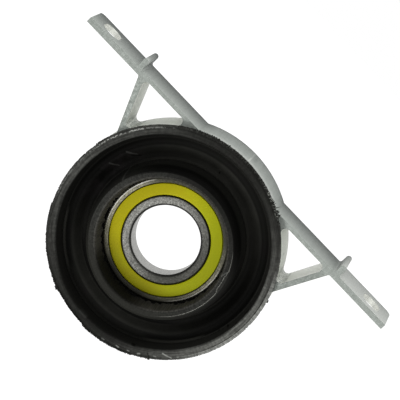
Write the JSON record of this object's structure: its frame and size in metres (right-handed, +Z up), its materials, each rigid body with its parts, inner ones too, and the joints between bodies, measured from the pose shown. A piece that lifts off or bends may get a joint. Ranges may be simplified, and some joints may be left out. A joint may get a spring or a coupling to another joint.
{
  "type": "driveshaft centre bearing",
  "caption": "Aluminium ring bracket with slotted feet carrying a sealed ball bearing in a folded black rubber mount, to steady a two-piece driveshaft.",
  "frame": {"origin": "centre of the bearing, on the shaft axis, midway between its faces", "axes": "+Y along the shaft away from the lipped front, +X along the bar, +Z up to the bar's mounting face"},
  "size_m": [0.1796, 0.0321, 0.1006],
  "materials": {
    "bracket_aluminium": "satin, sawn extrusion",
    "mount_rubber": "matt moulded",
    "ring_steel": "ground",
    "seal_rubber": "satin moulded",
    "cage_steel": "pressed sheet",
    "ball_steel": "polished"
  },
  "bodies": {
    "bracket": {"bracket": "bracket_aluminium", "rubber_mount": "mount_rubber"},
    "bearing_carrier": {"bearing_outer_ring": "ring_steel", "seal_front": "seal_rubber", "seal_rear": "seal_rubber"},
    "inner_ring": {"bearing_inner_ring": "ring_steel"},
    "cage": {"cage_front": "cage_steel", "cage_rear": "cage_steel", "cage_rivets": "cage_steel"},
    "ball_1": {"ball_1": "ball_steel"},
    "ball_2": {"ball_2": "ball_steel"},
    "ball_3": {"ball_3": "ball_steel"},
    "ball_4": {"ball_4": "ball_steel"},
    "ball_5": {"ball_5": "ball_steel"},
    "ball_6": {"ball_6": "ball_steel"},
    "ball_7": {"ball_7": "ball_steel"},
    "ball_8": {"ball_8": "ball_steel"},
    "ball_9": {"ball_9": "ball_steel"},
    "ball_10": {"ball_10": "ball_steel"},
    "ball_11": {"ball_11": "ball_steel"}
  },
  "joints": [
    {"name": "mount_float", "type": "slide", "parent": "bracket", "child": "bearing_carrier", "axis": [0, 1, 0], "range_m": [-0.003, 0.003], "stiffness_N_per_m": 20000, "deforming": ["rubber_mount"]},
    {"name": "shaft_spin", "type": "hinge", "parent": "bearing_carrier", "child": "inner_ring", "pos_m": [0, 0, 0], "axis": [0, 1, 0], "continuous": true},
    {"name": "cage_orbit", "type": "hinge", "parent": "bearing_carrier", "child": "cage", "pos_m": [0, 0, 0], "axis": [0, 1, 0], "continuous": true},
    {"name": "ball_1_spin", "type": "hinge", "parent": "cage", "child": "ball_1", "pos_m": [0, 0, 0.02125], "axis": [0, 1, 0], "continuous": true},
    {"name": "ball_2_spin", "type": "hinge", "parent": "cage", "child": "ball_2", "pos_m": [0.01149, 0, 0.01788], "axis": [0, 1, 0], "continuous": true},
    {"name": "ball_3_spin", "type": "hinge", "parent": "cage", "child": "ball_3", "pos_m": [0.01933, 0, 0.00883], "axis": [0, 1, 0], "continuous": true},
    {"name": "ball_4_spin", "type": "hinge", "parent": "cage", "child": "ball_4", "pos_m": [0.02103, 0, -0.00302], "axis": [0, 1, 0], "continuous": true},
    {"name": "ball_5_spin", "type": "hinge", "parent": "cage", "child": "ball_5", "pos_m": [0.01606, 0, -0.01392], "axis": [0, 1, 0], "continuous": true},
    {"name": "ball_6_spin", "type": "hinge", "parent": "cage", "child": "ball_6", "pos_m": [0.00599, 0, -0.02039], "axis": [0, 1, 0], "continuous": true},
    {"name": "ball_7_spin", "type": "hinge", "parent": "cage", "child": "ball_7", "pos_m": [-0.00599, 0, -0.02039], "axis": [0, 1, 0], "continuous": true},
    {"name": "ball_8_spin", "type": "hinge", "parent": "cage", "child": "ball_8", "pos_m": [-0.01606, 0, -0.01392], "axis": [0, 1, 0], "continuous": true},
    {"name": "ball_9_spin", "type": "hinge", "parent": "cage", "child": "ball_9", "pos_m": [-0.02103, 0, -0.00302], "axis": [0, 1, 0], "continuous": true},
    {"name": "ball_10_spin", "type": "hinge", "parent": "cage", "child": "ball_10", "pos_m": [-0.01933, 0, 0.00883], "axis": [0, 1, 0], "continuous": true},
    {"name": "ball_11_spin", "type": "hinge", "parent": "cage", "child": "ball_11", "pos_m": [-0.01149, 0, 0.01788], "axis": [0, 1, 0], "continuous": true}
  ],
  "couplings": [
    {"joint": "cage_orbit", "follows": "shaft_spin", "ratio": 0.41596},
    {"joint": "ball_1_spin", "follows": "shaft_spin", "ratio": -2.8906},
    {"joint": "ball_2_spin", "follows": "shaft_spin", "ratio": -2.8906},
    {"joint": "ball_3_spin", "follows": "shaft_spin", "ratio": -2.8906},
    {"joint": "ball_4_spin", "follows": "shaft_spin", "ratio": -2.8906},
    {"joint": "ball_5_spin", "follows": "shaft_spin", "ratio": -2.8906},
    {"joint": "ball_6_spin", "follows": "shaft_spin", "ratio": -2.8906},
    {"joint": "ball_7_spin", "follows": "shaft_spin", "ratio": -2.8906},
    {"joint": "ball_8_spin", "follows": "shaft_spin", "ratio": -2.8906},
    {"joint": "ball_9_spin", "follows": "shaft_spin", "ratio": -2.8906},
    {"joint": "ball_10_spin", "follows": "shaft_spin", "ratio": -2.8906},
    {"joint": "ball_11_spin", "follows": "shaft_spin", "ratio": -2.8906}
  ]
}
